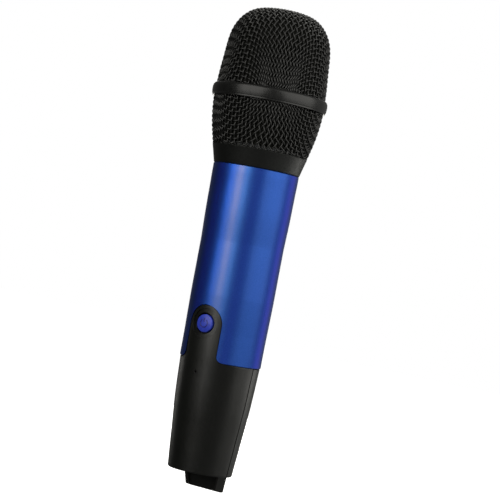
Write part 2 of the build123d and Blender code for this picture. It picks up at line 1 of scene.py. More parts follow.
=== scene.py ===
"""Cordless handheld microphone with a woven wire grille.

It stands along +Z on the Z axis, head up, with the power button facing -Y.
Outlines and meshes are worked out in millimetres; the scene is in metres.
"""
import math

import bpy
import numpy as np
from mathutils import Matrix, Vector


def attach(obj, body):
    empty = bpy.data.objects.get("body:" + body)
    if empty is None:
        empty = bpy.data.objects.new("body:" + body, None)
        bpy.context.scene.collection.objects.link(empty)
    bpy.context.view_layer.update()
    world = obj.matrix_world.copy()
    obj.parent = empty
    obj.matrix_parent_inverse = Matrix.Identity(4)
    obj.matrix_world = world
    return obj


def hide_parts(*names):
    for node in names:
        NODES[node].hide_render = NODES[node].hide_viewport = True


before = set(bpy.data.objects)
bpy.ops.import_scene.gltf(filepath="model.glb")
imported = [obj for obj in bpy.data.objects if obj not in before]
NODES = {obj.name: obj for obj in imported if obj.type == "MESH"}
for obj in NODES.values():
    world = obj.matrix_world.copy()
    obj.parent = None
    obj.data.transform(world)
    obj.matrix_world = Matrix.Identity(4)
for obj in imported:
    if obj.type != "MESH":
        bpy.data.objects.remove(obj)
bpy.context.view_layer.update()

MM = 0.001
HALF_PI = math.pi / 2
SHARP_ANGLE = math.radians(38)      # edges steeper than this are shaded sharp


# ------------------------------------------------------------------ shader building
class Shader:
    """A material with a Principled BSDF, textured in object coordinates (metres)."""

    SOCKETS = {
        "color": "Base Color", "metallic": "Metallic", "roughness": "Roughness",
        "specular": "Specular IOR Level", "normal": "Normal", "coat": "Coat Weight",
        "coat_roughness": "Coat Roughness", "coat_normal": "Coat Normal",
    }

    def __init__(self, name):
        self.material = bpy.data.materials.new(name)
        self.material.use_nodes = True
        self.tree = self.material.node_tree
        self.principled = self.tree.nodes["Principled BSDF"]
        self.position = self.add("ShaderNodeTexCoord").outputs["Object"]

    def add(self, kind, **settings):
        node = self.tree.nodes.new(kind)
        for key, value in settings.items():
            setattr(node, key, value)
        return node

    def feed(self, socket, value):
        """Links an output into the socket, or sets its value; RGB gains an alpha of 1."""
        if isinstance(value, bpy.types.NodeSocket):
            self.tree.links.new(value, socket)
        elif isinstance(value, tuple):
            socket.default_value = (*value, 1.0)
        else:
            socket.default_value = value

    def noise(self, scale, detail=3.0, roughness=0.55, vector=None):
        node = self.add("ShaderNodeTexNoise")
        self.feed(node.inputs["Vector"], vector or self.position)
        node.inputs["Scale"].default_value = scale
        node.inputs["Detail"].default_value = detail
        node.inputs["Roughness"].default_value = roughness
        return node.outputs["Fac"]

    def voronoi(self, scale, feature="F1", output="Distance"):
        node = self.add("ShaderNodeTexVoronoi", feature=feature)
        self.feed(node.inputs["Vector"], self.position)
        node.inputs["Scale"].default_value = scale
        return node.outputs[output]

    def stretched(self, scale):
        node = self.add("ShaderNodeMapping")
        self.feed(node.inputs["Vector"], self.position)
        node.inputs["Scale"].default_value = scale
        return node.outputs["Vector"]

    def remap(self, value, span=(0.3, 0.7), to=(0.0, 1.0)):
        node = self.add("ShaderNodeMapRange")
        node.clamp = True
        self.feed(node.inputs["Value"], value)
        for key, number in zip(("From Min", "From Max", "To Min", "To Max"), (*span, *to)):
            node.inputs[key].default_value = number
        return node.outputs["Result"]

    def math(self, operation, first, second):
        node = self.add("ShaderNodeMath", operation=operation)
        for socket, value in zip(node.inputs, (first, second, 0.0)):
            self.feed(socket, value)
        return node.outputs[0]

    def mix(self, factor, first, second):
        node = self.add("ShaderNodeMix", data_type="RGBA")
        # sockets 0, 6 and 7 are the factor and the two colours
        for index, value in ((0, factor), (6, first), (7, second)):
            self.feed(node.inputs[index], value)
        return node.outputs[2]

    def mottle(self, dark, light, scale, detail=3.0):
        """Two colours mixed by soft noise."""
        return self.mix(self.remap(self.noise(scale, detail)), dark, light)

    def grey_of(self, color):
        node = self.add("ShaderNodeRGBToBW")
        self.feed(node.inputs[0], color)
        return node.outputs[0]

    def bump(self, height, strength, distance=0.0001, normal=None):
        node = self.add("ShaderNodeBump")
        node.inputs["Strength"].default_value = strength
        node.inputs["Distance"].default_value = distance
        self.feed(node.inputs["Height"], height)
        if normal is not None:
            self.feed(node.inputs["Normal"], normal)
        return node.outputs["Normal"]

    def bevel(self, radius):
        """Normal rounded over edges, or None for a radius of 0."""
        if not radius:
            return None
        node = self.add("ShaderNodeBevel", samples=4)
        node.inputs["Radius"].default_value = radius
        return node.outputs["Normal"]

    def finish(self, **values):
        """Feeds the Principled BSDF and returns the material."""
        for key, value in values.items():
            self.feed(self.principled.inputs[self.SOCKETS[key]], value)
        return self.material


def shades(color, variation):
    dark = tuple(c * (1 - variation) for c in color)
    light = tuple(min(1.0, c * (1 + variation)) for c in color)
    return dark, light


def plastic(name, color, roughness=0.5, grain=2600.0, bump=0.12, variation=0.12,
            coat=0.0, specular=0.5, bevel=0.0):
    s = Shader(name)
    scuffs = s.remap(s.noise(500.0, detail=5.0, roughness=0.7), span=(0.3, 0.75), to=(-0.05, 0.07))
    return s.finish(
        color=s.mottle(*shades(color, variation), scale=90.0),
        roughness=s.math("ADD", scuffs, roughness),
        normal=s.bump(s.noise(grain, detail=2.0), bump, distance=0.00012, normal=s.bevel(bevel)),
        coat=coat, specular=specular)


def metal(name, color, roughness, brushed=None, bevel=0.0):
    """`brushed` scales the grain per axis: a small value draws it out along that axis."""
    s = Shader(name)
    grain = s.noise(1500.0, detail=4.0, roughness=0.6,
                    vector=s.stretched(brushed) if brushed else None)
    return s.finish(
        color=s.mottle(*shades(color, 0.08), scale=140.0),
        metallic=1.0,
        roughness=s.math("ADD", s.remap(grain, to=(-0.06, 0.08)), roughness),
        normal=s.bump(grain, strength=0.06, normal=s.bevel(bevel)))


# ------------------------------------------------------------------ materials
def lacquered_wire():
    """Near black, thin gloss, with tiny runs in the coating."""
    s = Shader("wire_black")
    runs = s.noise(1800.0)
    return s.finish(
        color=s.mottle((0.005, 0.0052, 0.0047), (0.010, 0.010, 0.0092), scale=160.0, detail=2.0),
        roughness=s.remap(runs, to=(0.26, 0.36)),
        specular=0.66,
        normal=s.bump(runs, strength=0.25, distance=0.00008))


def foam():
    s = Shader("foam_black")
    cells = s.voronoi(1500.0)
    return s.finish(
        color=s.mix(s.remap(cells, span=(0.1, 0.6)), (0.010, 0.0105, 0.009), (0.024, 0.025, 0.021)),
        roughness=0.95,
        specular=0.1,
        normal=s.bump(cells, strength=0.9, distance=0.0005))


def grille_band():
    """Black with fine streaks along Z and small flecks."""
    s = Shader("band_black")
    streaks = s.noise(1.0, roughness=0.6, vector=s.stretched((2600.0, 2600.0, 260.0)))
    flecks = s.math("MULTIPLY", s.noise(4200.0, detail=2.0), 0.4)
    return s.finish(
        color=s.mix(s.remap(streaks), (0.005, 0.005, 0.005), (0.011, 0.011, 0.0105)),
        roughness=s.remap(streaks, span=(0.25, 0.75), to=(0.24, 0.34)),
        specular=0.55,
        normal=s.bump(s.math("ADD", streaks, flecks), strength=0.22, distance=0.00008))


def blue_lacquer():
    """Metallic blue flakes under a soft clear coat."""
    s = Shader("barrel_blue")
    flakes = s.grey_of(s.voronoi(5200.0, output="Color"))
    flake_color = s.mix(s.remap(flakes, span=(0.2, 0.8)),
                        (0.021, 0.085, 0.385), (0.031, 0.109, 0.47))
    clouds = s.remap(s.noise(60.0, detail=2.0), to=(0.0, 0.15))
    coat_ripple = s.noise(420.0, detail=2.0)
    return s.finish(
        color=s.mix(clouds, flake_color, (0.029, 0.09, 0.44)),
        metallic=1.0,
        roughness=s.remap(flakes, span=(0.0, 1.0), to=(0.32, 0.40)),
        coat=0.18,
        coat_roughness=0.22,
        normal=s.bump(flakes, strength=0.05, distance=0.00005),
        coat_normal=s.bump(coat_ripple, strength=0.05))


def handle_plastic(name, specular):
    s = Shader(name)
    scuffs = s.remap(s.noise(600.0, detail=5.0, roughness=0.7), span=(0.3, 0.75), to=(-0.04, 0.06))
    return s.finish(
        color=s.mottle((0.0030, 0.0034, 0.0028), (0.0045, 0.0049, 0.0042), scale=70.0),
        roughness=s.math("ADD", scuffs, 0.35),
        specular=specular,
        normal=s.bump(s.voronoi(3600.0), strength=0.14, normal=s.bevel(0.00022)))


def button_plastic():
    s = Shader("button_blue")
    grain = s.noise(3000.0, detail=2.0)
    return s.finish(
        color=s.mottle((0.034, 0.064, 0.60), (0.046, 0.084, 0.72), scale=300.0, detail=2.0),
        roughness=s.remap(grain, to=(0.30, 0.38)),
        specular=0.5,
        coat=0.25,
        coat_roughness=0.2,
        normal=s.bump(grain, strength=0.08, normal=s.bevel(0.0003)))


def solder_mask():
    """Green board with lighter raised tracks."""
    s = Shader("solder_mask")
    edges = s.voronoi(420.0, feature="DISTANCE_TO_EDGE")
    tracks = s.remap(edges, span=(0.04, 0.07), to=(1.0, 0.0))
    return s.finish(
        color=s.mix(tracks, (0.008, 0.10, 0.035), (0.02, 0.17, 0.06)),
        roughness=0.3,
        coat=0.3,
        normal=s.bump(tracks, strength=0.3, distance=0.00005))


def cell_wrap(name, upside_down):
    """Battery wrap: dark green below, silver above, and a gold band; heights in metres."""
    dark_top = 0.0465
    band_bottom, band_top = 0.0475, 0.0515
    flip_sum = 0.07162              # z turns into this less z for the upside-down cell
    s = Shader(name)
    split = s.add("ShaderNodeSeparateXYZ")
    s.feed(split.inputs[0], s.position)
    z = split.outputs[2]
    if upside_down:
        z = s.math("SUBTRACT", flip_sum, z)
    band = s.math("MULTIPLY", s.math("GREATER_THAN", z, band_bottom),
                  s.math("LESS_THAN", z, band_top))
    body = s.mix(s.math("LESS_THAN", z, dark_top), (0.55, 0.57, 0.60), (0.03, 0.13, 0.10))
    grain = s.noise(1500.0)
    return s.finish(
        color=s.mix(band, body, (0.62, 0.40, 0.04)),
        roughness=s.remap(grain, to=(0.24, 0.34)),
        coat=0.5,
        normal=s.bump(grain, strength=0.05))


def light_pipe_plastic():
    s = Shader("clear_plastic")
    return s.finish(
        color=s.mottle((0.003, 0.003, 0.003), (0.006, 0.005, 0.005), scale=800.0),
        roughness=s.remap(s.noise(2000.0), to=(0.25, 0.35)),
        specular=0.3)


def film():
    s = Shader("film")
    return s.finish(color=s.mottle((0.45, 0.40, 0.25), (0.55, 0.50, 0.34), scale=900.0),
                    roughness=0.25)


def dress(material, *pieces):
    """Gives the named CAD pieces the material and returns it."""
    for piece in pieces:
        slots = NODES[piece].data.materials
        slots.clear()
        slots.append(material)
    return material


TURNED = (0.15, 0.15, 3.0)          # grain runs round the axis
DRAWN = (1.0, 1.0, 0.12)            # grain runs along Z

WIRE = dress(lacquered_wire(), "upper_grille", "lower_grille")
dress(foam(), "upper_foam", "lower_foam")
dress(grille_band(), "grille_band")
dress(plastic("collar_black", (0.0040, 0.0046, 0.0042), roughness=0.42, grain=3200.0, bump=0.16,
              variation=0.1, specular=0.4, bevel=0.0002), "head_collar")
dress(blue_lacquer(), "barrel")
dress(handle_plastic("handle_black", specular=0.40), "lower_shell", "battery_door")
TAIL = dress(handle_plastic("handle_stub", specular=0.26), "tail_cover", "end_cap")
BUTTON = dress(button_plastic(), "power_button")
SYMBOL = plastic("symbol_blue", (0.018, 0.020, 0.22), roughness=0.3, grain=3000.0, bump=0.05,
                 coat=0.2)
dress(metal("plated_steel", (0.55, 0.55, 0.54), roughness=0.3, brushed=DRAWN, bevel=0.0001),
      "band_liner", "shell_screws", "pcb_screws", "capsule_yoke", "pole_plate")
dress(plastic("chassis_grey", (0.10, 0.105, 0.11), roughness=0.55, bevel=0.0002),
      "grille_retainer", "chassis")
dress(plastic("rubber_black", (0.015, 0.015, 0.015), roughness=0.8, grain=1800.0, bump=0.3,
              variation=0.2, specular=0.3), "head_washer", "shock_mount")
ALLOY = dress(metal("turned_alloy", (0.60, 0.61, 0.62), roughness=0.28, brushed=TURNED,
                    bevel=0.0001), "neck_insert")
dress(metal("capsule_alloy", (0.42, 0.42, 0.42), roughness=0.36, brushed=TURNED, bevel=0.0001),
      "capsule_housing", "capsule_cap")
dress(film(), "diaphragm")
dress(metal("enamelled_copper", (0.70, 0.30, 0.14), roughness=0.25), "voice_coil", "aerial_coil")
dress(metal("nickel_plate", (0.66, 0.64, 0.60), roughness=0.2, bevel=0.00008),
      "capsule_magnet", "spring_left", "spring_right", "bridge_contact",
      "positive_contact", "negative_contact")
dress(plastic("white_plastic", (0.62, 0.63, 0.62)), "coil_frame", "switch_plunger", "status_led")
dress(solder_mask(), "main_pcb", "capsule_terminal_board")
dress(metal("tin_plate", (0.68, 0.68, 0.67), roughness=0.32, bevel=0.0001), "rf_shield", "crystal")
dress(plastic("moulded_black", (0.02, 0.02, 0.02), roughness=0.6, grain=5000.0, bump=0.2),
      "transmitter_ic", "audio_ic", "switch_body")
dress(plastic("sleeve_blue", (0.02, 0.03, 0.10), roughness=0.3, grain=2000.0, bump=0.05,
              coat=0.4), "capacitors")
dress(cell_wrap("cell_wrap_up", upside_down=False), "cell_left")
dress(cell_wrap("cell_wrap_down", upside_down=True), "cell_right")
dress(plastic("lead_insulation", (0.25, 0.02, 0.015), roughness=0.4, grain=1500.0, bump=0.05),
      "capsule_leads", "battery_leads")
dress(light_pipe_plastic(), "light_pipe")


# ------------------------------------------------------------------ meshes
def new_mesh(name, verts, faces, material, body):
    """Smooth-shaded object, vertices in metres, riding on `body`."""
    mesh = bpy.data.meshes.new(name)
    mesh.from_pydata([tuple(v) for v in verts], [], faces)
    mesh.validate()
    mesh.shade_smooth()
    mesh.update()
    obj = bpy.data.objects.new(name, mesh)
    bpy.context.scene.collection.objects.link(obj)
    obj.data.materials.append(material)
    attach(obj, body)
    return obj


def tube(verts, faces, path, normals, radius, sides):
    """Adds a closed round tube along the path, its sections framed on the normals."""
    along = np.gradient(path, axis=0)
    along /= np.linalg.norm(along, axis=1)[:, None]
    out = normals - (normals * along).sum(1)[:, None] * along
    out /= np.linalg.norm(out, axis=1)[:, None]
    across = np.cross(along, out)
    angles = 2 * math.pi * np.arange(sides) / sides
    base = len(verts)
    for i in range(len(path)):
        for a in angles:
            verts.append(path[i] + radius * (math.cos(a) * out[i] + math.sin(a) * across[i]))
    for i in range(len(path) - 1):
        ring = base + i * sides
        for k in range(sides):
            k2 = (k + 1) % sides
            faces.append((ring + k, ring + k2, ring + sides + k2, ring + sides + k))
    last = base + (len(path) - 1) * sides
    faces.append(tuple(base + k for k in reversed(range(sides))))
    faces.append(tuple(last + k for k in range(sides)))


# ------------------------------------------------------------------ woven grille, in mm
# outlines as (radius, z), from the axis outwards
DOME = [
    (0.0, 233.3), (4.0, 233.17), (8.0, 232.8), (12.0, 232.1), (14.7, 231.25), (16.8, 230.1),
    (18.83, 228.45), (20.64, 226.45), (22.14, 224.17), (23.32, 221.7), (24.17, 219.06),
    (24.75, 216.3), (25.1, 213.4), (25.44, 209.3), (25.76, 205.1), (26.13, 200.9),
    (26.4, 196.7), (26.5, 193.9), (26.5, 185.0), (26.5, 176.0),
]
BASKET = [
    (0.0, 162.6), (8.0, 162.6), (15.0, 162.6), (19.0, 162.6), (21.2, 162.75), (22.3, 163.25),
    (23.0, 164.3), (23.95, 168.0), (24.85, 171.8), (25.6, 175.7), (26.15, 179.5),
    (26.55, 183.4), (26.7, 186.4), (26.6, 190.0), (26.5, 200.0), (26.5, 208.0),
]
WIRE_INSET = 0.7            # weave's middle surface inside the outline
WIRE_RADIUS = 0.37
WIRE_SIDES = 7
WEAVE_LIFT = 0.35           # how far a wire swings in and out of the middle surface
STEPS_PER_CROSSING = 5
WEAVE_TURN = -6.0           # degrees about Z

UPPER_PITCH = 2.2
UPPER_NET_END_Z = 191.2
UPPER_CUT_Z = 191.0         # no wire below this
LOWER_PITCH = 2.1
LOWER_NET_END_Z = 190.2
LOWER_CUT_Z = 190.5         # no wire above this
LOWER_OPENING_RADIUS = 20.9     # no wire nearer the axis on the basket's floor

# how the flat cloth is formed over the wall
CROWN = 8.0                 # undistorted to this distance from the pole
FORMED_AT = 0.8             # fully formed at this share of the net's length
WALL_POWER = 8              # norm that keeps rows level between the diagonals
WALL_DIAGONAL = 0.7711      # that norm over the distance, on the diagonal
CORNER_STRETCH = 1.25       # length along the diagonal, over the flat length
CORNER_FALLOFF = 1.2
ANGLE_FALLOFF = 0.8
SQUEEZE = 0.38              # tightening at the diagonal
SQUEEZE_WIDTH = 9.0         # degrees
FLANKS = (25.0, 65.0)       # degrees, where the squeeze is given back


class Profile:
    """Smooth (radius, z) curve by arc length, moved inwards by `inset`.

    `side` is 1 or -1, whichever makes the normals point outwards.
    """

    def __init__(self, outline, inset, side):
        p = np.array(outline, float)
        t = np.r_[0, np.cumsum(np.hypot(*np.diff(p, axis=0).T))]
        tangent = np.zeros_like(p)
        tangent[1:-1] = (p[2:] - p[:-2]) / (t[2:] - t[:-2])[:, None]
        tangent[0] = (p[1] - p[0]) / (t[1] - t[0])
        tangent[0, 1] = 0.0         # level at the axis
        tangent[-1] = (p[-1] - p[-2]) / (t[-1] - t[-2])
        spans = []
        for i in range(len(p) - 1):
            u = np.linspace(0, 1, 60, endpoint=(i == len(p) - 2))[:, None]
            step = t[i + 1] - t[i]
            h00, h10 = 2 * u**3 - 3 * u**2 + 1, u**3 - 2 * u**2 + u
            h01, h11 = -2 * u**3 + 3 * u**2, u**3 - u**2
            spans.append(h00 * p[i] + h10 * step * tangent[i]
                         + h01 * p[i + 1] + h11 * step * tangent[i + 1])
        curve = np.vstack(spans)
        along = np.gradient(curve, axis=0)
        along /= np.linalg.norm(along, axis=1)[:, None]
        normals = np.c_[-along[:, 1], along[:, 0]] * side
        curve = curve - normals * inset
        curve[0, 0] = 0.0
        self.length = np.r_[0, np.cumsum(np.hypot(*np.diff(curve, axis=0).T))]
        self.radius, self.z = curve.T
        self.normal_r, self.normal_z = normals.T

    def at(self, s):
        return np.interp(s, self.length, self.radius), np.interp(s, self.length, self.z)

    def normal(self, s):
        nr = np.interp(s, self.length, self.normal_r)
        nz = np.interp(s, self.length, self.normal_z)
        size = np.hypot(nr, nz)
        return nr / size, nz / size


def squeeze_angles(angle):
    """Draws angles together at 45 degrees and eases them out on the flanks."""
    f = np.radians(np.linspace(0.0, 90.0, 721))

    def hump(centre):
        return np.exp(-((np.degrees(f) - centre) / SQUEEZE_WIDTH) ** 2)

    low, high = FLANKS
    density = 1.0 + SQUEEZE * (0.5 * hump(low) + 0.5 * hump(high) - hump(45.0))
    total = np.r_[0, np.cumsum((density[1:] + density[:-1]) / 2)]
    total *= HALF_PI / total[-1]
    return np.interp(angle, f, total)


def woven_net(profile, pitch, end):
    """Square cloth formed over the turned profile, one quadrant of crossings.

    Returns each crossing's arc length and angle, and whether it is within reach.
    Wires run straight down the wall at the four meridians and close up into slim
    diamonds between them.
    """
    flat = np.arange(int(end / pitch) + 4) * pitch
    u, v = np.meshgrid(flat, flat, indexing="ij")
    rho = np.hypot(u, v)
    blend = np.clip((rho - CROWN) / (FORMED_AT * end - CROWN), 0, 1)
    blend = blend * blend * (3 - 2 * blend)
    flat_angle = np.arctan2(v, u)
    diagonal = np.abs(np.sin(2 * flat_angle))
    wall = ((u**WALL_POWER + v**WALL_POWER) ** (1 / WALL_POWER)
            + (CORNER_STRETCH - WALL_DIAGONAL) * rho * diagonal ** (2 * CORNER_FALLOFF))
    s = (1 - blend) * rho + blend * wall
    w = 1 - diagonal ** (2 * ANGLE_FALLOFF)
    angle = w * np.arctan2(profile.at(v)[0], profile.at(u)[0]) + (1 - w) * flat_angle
    angle = (1 - blend) * angle + blend * squeeze_angles(angle)
    angle[:, 0] = 0.0
    angle[0, :] = HALF_PI
    angle[0, 0] = 0.0
    return s, angle, s < end + 2.2 * pitch


def smooth_interp(t, knots, y):
    """Cubic (Catmull-Rom) through integer knots."""
    i = np.clip(np.floor(t).astype(int) - knots[0], 0, len(knots) - 2)
    u = t - knots[i]
    p1, p2 = y[i], y[i + 1]
    p0 = y[np.maximum(i - 1, 0)]
    p3 = y[np.minimum(i + 2, len(knots) - 1)]
    m1, m2 = (p2 - p0) / 2, (p3 - p1) / 2
    return ((2 * u**3 - 3 * u**2 + 1) * p1 + (u**3 - 2 * u**2 + u) * m1
            + (-2 * u**3 + 3 * u**2) * p2 + (u**3 - u**2) * m2)


def wire_course(s, angle, own_meridian, crossed_meridian, on_meridian):
    """Arc length and angle along one wire, mirrored across its middle crossing."""
    count = len(s)
    index = np.arange(count)
    knots = np.r_[-index[::-1][:-1], index]
    t = np.linspace(-(count - 1), count - 1, (2 * count - 2) * STEPS_PER_CROSSING + 1)
    if on_meridian:                 # runs straight over the pole
        signed = np.interp(t, knots, np.r_[-s[::-1][:-1], s])
        return t, np.abs(signed), np.where(signed >= 0, own_meridian, own_meridian + math.pi)
    mirrored = (2 * crossed_meridian - angle)[::-1][:-1]
    return (t, smooth_interp(t, knots, np.r_[s[::-1][:-1], s]),
            smooth_interp(t, knots, np.r_[mirrored, angle]))


def weave_family(profile, net, family, keep):
    """Vertices and faces of all wires that run one way; `keep(s, z)` trims them."""
    # the second family is the first with the quadrant's two axes swapped
    lengths, angles, alive = net if family == 0 else [table.T for table in net]
    own, crossed = (0.0, HALF_PI) if family == 0 else (HALF_PI, 0.0)
    verts, faces = [], []
    for j in range(len(lengths)):
        count = 0
        while count < len(lengths) and alive[count, j]:
            count += 1
        if count < 2:
            continue
        t, s, angle = wire_course(lengths[:count, j], angles[:count, j], own, crossed, j == 0)
        sign = (-1.0 if family == 0 else 1.0) * (1.0 if j % 2 == 0 else -1.0)
        lift = sign * WEAVE_LIFT * np.cos(math.pi * t)
        r, z = profile.at(s)
        nr, nz = profile.normal(s)
        runs = np.flatnonzero(np.diff(np.r_[False, keep(s, z), False])).reshape(-1, 2)
        for a in ([angle] if j == 0 else [angle, 2 * own - angle]):
            path = np.stack([r * np.cos(a), r * np.sin(a), z], -1)
            normals = np.stack([nr * np.cos(a), nr * np.sin(a), nz], -1)
            path = path + normals * lift[:, None]
            for start, end in runs:
                if end - start > 2:
                    tube(verts, faces, path[start:end], normals[start:end],
                         WIRE_RADIUS, WIRE_SIDES)
    return verts, faces


def weave(name, profile, net, keep, replaced):
    """Both families of wires, over and under each other, in place of a CAD grille."""
    a = math.radians(WEAVE_TURN)
    turn = np.array([[math.cos(a), math.sin(a), 0], [-math.sin(a), math.cos(a), 0], [0, 0, 1]])
    made = []
    for family in (0, 1):
        verts, faces = weave_family(profile, net, family, keep)
        made.append(new_mesh(f"{name}_{'ab'[family]}", (np.array(verts) * MM) @ turn, faces,
                             WIRE, "head"))
    for obj in made:
        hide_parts(replaced)


def upper_weave():
    profile = Profile(DOME, WIRE_INSET, side=1.0)
    end = float(np.interp(-UPPER_NET_END_Z, -profile.z, profile.length))
    weave("upper_weave", profile, woven_net(profile, UPPER_PITCH, end),
          lambda s, z: z > UPPER_CUT_Z, "upper_grille")


def lower_weave():
    profile = Profile(BASKET, WIRE_INSET, side=-1.0)
    # the penalty keeps the search on the wall, beyond a radius of 20
    misses = np.abs(profile.z - LOWER_NET_END_Z) + 99 * (profile.radius < 20)
    end = float(profile.length[np.argmin(misses)])
    opening = float(profile.length[np.argmin(np.abs(profile.radius - LOWER_OPENING_RADIUS))])
    weave("lower_weave", profile, woven_net(profile, LOWER_PITCH, end),
          lambda s, z: (z < LOWER_CUT_Z) & (s > opening), "lower_grille")


upper_weave()
lower_weave()

# ------------------------------------------------------------------ power button, in mm
BUTTON_Z = 79.0
BUTTON_RADIUS = 4.3
BUTTON_RIM = 0.5            # rounding of the rim
DOME_RADIUS = 16.0          # sphere of the button's face
DOME_CENTRE_Y = -4.0
SKIRT_END_Y = -16.6
FLANGE_BACK_Y = -15.9
# (radius, y), from the skirt round the retaining flange to its back
FLANGE = [
    (BUTTON_RADIUS + 0.05, -16.55), (5.9, -16.55), (6.0, -16.45), (6.0, -16.0),
    (5.9, FLANGE_BACK_Y), (3.0, FLANGE_BACK_Y),
]
GAP_SHADE_FROM_Y = -17.2         # behind this the button takes the black material: painted shade in the gap round the button
SYMBOL_RING_RADIUS = 1.95
SYMBOL_RING_GAP = 38        # half the gap, degrees from the top
SYMBOL_BAR_START = 0.55     # above the button's centre
SYMBOL_BAR_LENGTH = 2.0
SYMBOL_STROKE_RADIUS = 0.27
SYMBOL_SINK = 0.10


def button_mesh(segments=128):
    """Domed button with a rounded rim and a flange, turned about its own Y axis."""
    rim_centre = BUTTON_RADIUS - BUTTON_RIM
    rim_y = DOME_CENTRE_Y - math.sqrt((DOME_RADIUS - BUTTON_RIM) ** 2 - rim_centre ** 2)
    dome_edge = rim_centre * DOME_RADIUS / (DOME_RADIUS - BUTTON_RIM)

    def dome_y(r):
        return DOME_CENTRE_Y - math.sqrt(DOME_RADIUS * DOME_RADIUS - r * r)

    rim_start = math.atan2(dome_y(dome_edge) - rim_y, dome_edge - rim_centre)
    profile = [(r, dome_y(r)) for r in np.linspace(0.0, dome_edge, 26)[1:]]
    profile += [(rim_centre + BUTTON_RIM * math.cos(a), rim_y + BUTTON_RIM * math.sin(a))
                for a in np.linspace(rim_start, 0.0, 12)[1:]]
    profile += [(BUTTON_RADIUS, y) for y in np.linspace(rim_y, SKIRT_END_Y, 7)[1:]]
    profile += FLANGE

    verts = [(0.0, DOME_CENTRE_Y - DOME_RADIUS, BUTTON_Z), (0.0, FLANGE_BACK_Y, BUTTON_Z)]
    for k in range(segments):
        a = 2 * math.pi * k / segments
        verts += [(r * math.cos(a), y, BUTTON_Z + r * math.sin(a)) for r, y in profile]
    count, faces = len(profile), []
    for k in range(segments):
        i = 2 + k * count
        j = 2 + ((k + 1) % segments) * count
        faces.append((0, i, j))
        faces += [(i + q, i + q + 1, j + q + 1, j + q) for q in range(count - 1)]
        faces.append((i + count - 1, 1, j + count - 1))
    return verts, faces


def power_button():
    verts, faces = button_mesh()
    obj = new_mesh("button_cap", np.array(verts) * MM, faces, BUTTON, "power_button")
    obj.data.set_sharp_from_angle(angle=SHARP_ANGLE)
    # the black stub material on the skirt's back and the flange is painted shade in the gap round
    # the button; the moulding itself is blue all over
    obj.data.materials.append(TAIL)
    for face in obj.data.polygons:
        face.material_index = int(face.center.y > GAP_SHADE_FROM_Y * MM)
    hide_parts("power_button")


def face_y(x, z):
    return DOME_CENTRE_Y - math.sqrt(DOME_RADIUS * DOME_RADIUS - x * x - (z - BUTTON_Z) ** 2)


def button_face(x, z):
    """Point and outward normal of the button's face."""
    h = 1e-3
    normal = np.array([(face_y(x + h, z) - face_y(x - h, z)) / (2 * h), -1.0,
                       (face_y(x, z + h) - face_y(x, z - h)) / (2 * h)])
    return np.array([x, face_y(x, z), z]), normal / np.linalg.norm(normal)


def power_symbol():
    """Open ring and a bar, as half-sunk round strokes on the button's face."""
    ring = [(SYMBOL_RING_RADIUS * math.sin(a), BUTTON_Z + SYMBOL_RING_RADIUS * math.cos(a))
            for a in np.radians(np.linspace(SYMBOL_RING_GAP, 360 - SYMBOL_RING_GAP, 49))]
    bar = [(0.0, BUTTON_Z + SYMBOL_BAR_START + SYMBOL_BAR_LENGTH * k / 8) for k in range(9)]
    verts, faces = [], []
    for stroke in (ring, bar):
        points, normals = map(np.array, zip(*(button_face(x, z) for x, z in stroke)))
        tube(verts, faces, points - SYMBOL_SINK * normals, normals, SYMBOL_STROKE_RADIUS, sides=10)
    new_mesh("power_symbol", np.array(verts) * MM, faces, SYMBOL, "power_button")


power_button()
power_symbol()

# ------------------------------------------------------------------ threaded neck, in mm
THREAD_PITCH = 1.5
THREAD_BOTTOM, THREAD_TOP = 156.1, 162.0
THREAD_RADIUS = 16.5        # at the crests
THREAD_DEPTH = 0.42
THREAD_FADE = 0.5           # height over which it runs out at either end
# (radius, z), from the bore's foot round the outside to the thread, then back to the bore
NECK_BELOW = [
    (14.2, 143.3), (14.5, 143.0), (17.9, 143.0), (18.15, 143.25), (18.15, 154.6),
    (18.05, 154.7), (15.8, 154.7), (15.8, 155.6),
]
NECK_ABOVE = [(16.0, 162.5), (14.4, 162.5), (14.2, 162.3)]


def unit_clamp(value):
    return min(1.0, max(0.0, value))


def thread_radius(z, turn):
    """Radius of the running thread at height z and `turn` of a revolution."""
    phase = (z / THREAD_PITCH - turn) % 1.0
    cut = THREAD_DEPTH * unit_clamp(1.25 * abs(2 * phase - 1) - 0.12)
    fade = (unit_clamp((z - THREAD_BOTTOM) / THREAD_FADE)
            * unit_clamp((THREAD_TOP - z) / THREAD_FADE))
    return THREAD_RADIUS - cut * fade


def threaded_neck(segments=120):
    heights = [float(z) for z in np.linspace(THREAD_BOTTOM, THREAD_TOP, 90)]
    count = len(NECK_BELOW) + len(heights) + len(NECK_ABOVE)
    verts, faces = [], []
    for k in range(segments):
        a = 2 * math.pi * k / segments
        thread = [(thread_radius(z, a / (2 * math.pi)), z) for z in heights]
        verts += [(r * math.cos(a), r * math.sin(a), z)
                  for r, z in NECK_BELOW + thread + NECK_ABOVE]
        k2 = (k + 1) % segments
        for i in range(count):
            i2 = (i + 1) % count
            faces.append((k * count + i, k2 * count + i, k2 * count + i2, k * count + i2))
    obj = new_mesh("neck_threaded", np.array(verts) * MM, faces, ALLOY, "handle")
    obj.data.set_sharp_from_angle(angle=SHARP_ANGLE)
    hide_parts("neck_insert")


threaded_neck()

# ------------------------------------------------------------------ camera, in metres
AZIMUTH = math.radians(32.9)        # from -Y towards +X
ROLL = math.radians(10.68)          # leans the microphone to the right in the frame
CAMERA_SHIFT = 0.00415              # to the right of the axis
CAMERA_DISTANCE = 0.864
CAMERA_Z, AIM_Z = 0.1066, 0.117

SCENE = bpy.context.scene
FORWARD = Vector((-math.sin(AZIMUTH), math.cos(AZIMUTH), 0.0))
RIGHT = Vector((math.cos(AZIMUTH), math.sin(AZIMUTH), 0.0))


